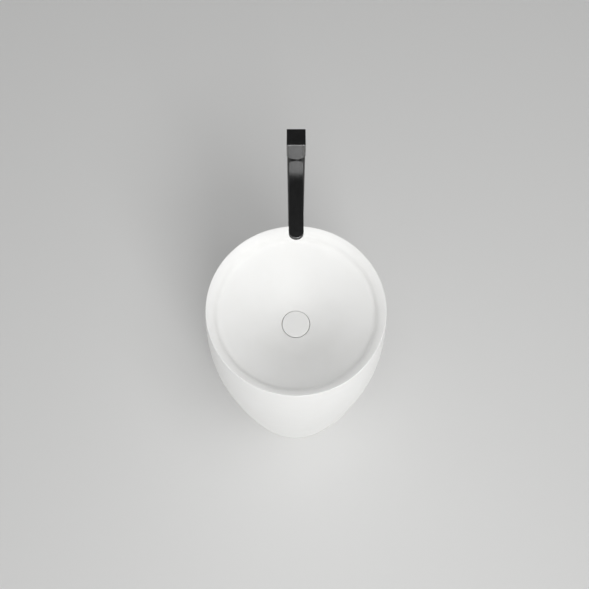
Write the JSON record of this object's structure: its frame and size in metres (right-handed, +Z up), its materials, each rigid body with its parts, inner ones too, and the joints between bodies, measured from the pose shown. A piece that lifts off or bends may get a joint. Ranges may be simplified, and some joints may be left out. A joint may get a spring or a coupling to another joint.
{
  "type": "freestanding washbasin",
  "caption": "Freestanding barrel-shaped washbasin with a round conical bowl, push-open drain cover and hidden bottle trap, and a floor-standing single-lever tap behind it.",
  "frame": {"origin": "on the floor, on the basin's vertical axis", "axes": "+Z up, +Y to the back where the tap stands, +X to the right seen from the front"},
  "size_m": [0.5046, 0.6192, 1.174],
  "materials": {
    "white_cast": "satin white cast mineral",
    "clear_seal": "pale silicone",
    "black_chrome": "polished black chrome",
    "chrome_plate": "polished chrome plate",
    "brass": "machined brass",
    "stainless_steel": "turned stainless",
    "black_rubber": "moulded rubber",
    "white_plastic": "moulded polypropylene",
    "grey_plastic": "moulded acetal",
    "steel_braid": "braided wire over rubber"
  },
  "bodies": {
    "stand": {"bowl": "white_cast", "pedestal_shell": "white_cast", "base_gasket": "clear_seal", "click_housing": "grey_plastic", "click_cap": "brass", "return_spring": "stainless_steel", "waste_body": "chrome_plate", "flange_gasket": "black_rubber", "under_gasket": "black_rubber", "slip_washer": "grey_plastic", "lock_nut": "brass", "inlet_seal": "black_rubber", "tailpipe": "white_plastic", "coupling_nut": "white_plastic", "trap_seal": "black_rubber", "trap_nut": "white_plastic", "trap_body": "white_plastic", "outlet_seal": "black_rubber", "outlet_nut": "white_plastic", "cup_seal": "black_rubber", "trap_cup": "white_plastic", "waste_pipe": "white_plastic", "tap_base_plate": "brass", "floor_rosette": "black_chrome", "column_tube": "black_chrome", "column_set_screw": "stainless_steel", "spout": "black_chrome", "aerator_ring": "black_chrome", "aerator_insert": "grey_plastic", "aerator_seal": "black_rubber", "mixer_cartridge": "grey_plastic", "cartridge_seals": "black_rubber", "cartridge_nut": "brass", "hot_hose": "steel_braid", "cold_hose": "steel_braid", "hose_fittings": "brass"},
    "plug": {"drain_cover": "white_cast", "cover_carrier": "chrome_plate", "plug_seal": "black_rubber", "plug_stem": "stainless_steel"},
    "swivel": {"lever_rotor": "brass", "tilt_pin": "stainless_steel"},
    "handle": {"lever_hub": "black_chrome", "lever": "black_chrome", "lever_grub_screw": "stainless_steel"}
  },
  "joints": [
    {"name": "plug_lift", "type": "slide", "parent": "stand", "child": "plug", "axis": [0, 0, 1], "range_m": [0, 0.009], "deforming": ["return_spring"]},
    {"name": "lever_turn", "type": "hinge", "parent": "stand", "child": "swivel", "pos_m": [0, 0.317, 1.106], "axis": [0, 0, 1], "range_deg": [-45, 45]},
    {"name": "lever_tilt", "type": "hinge", "parent": "swivel", "child": "handle", "pos_m": [0, 0.317, 1.13504], "axis": [-1, 0, 0], "range_deg": [0, 20]}
  ]
}
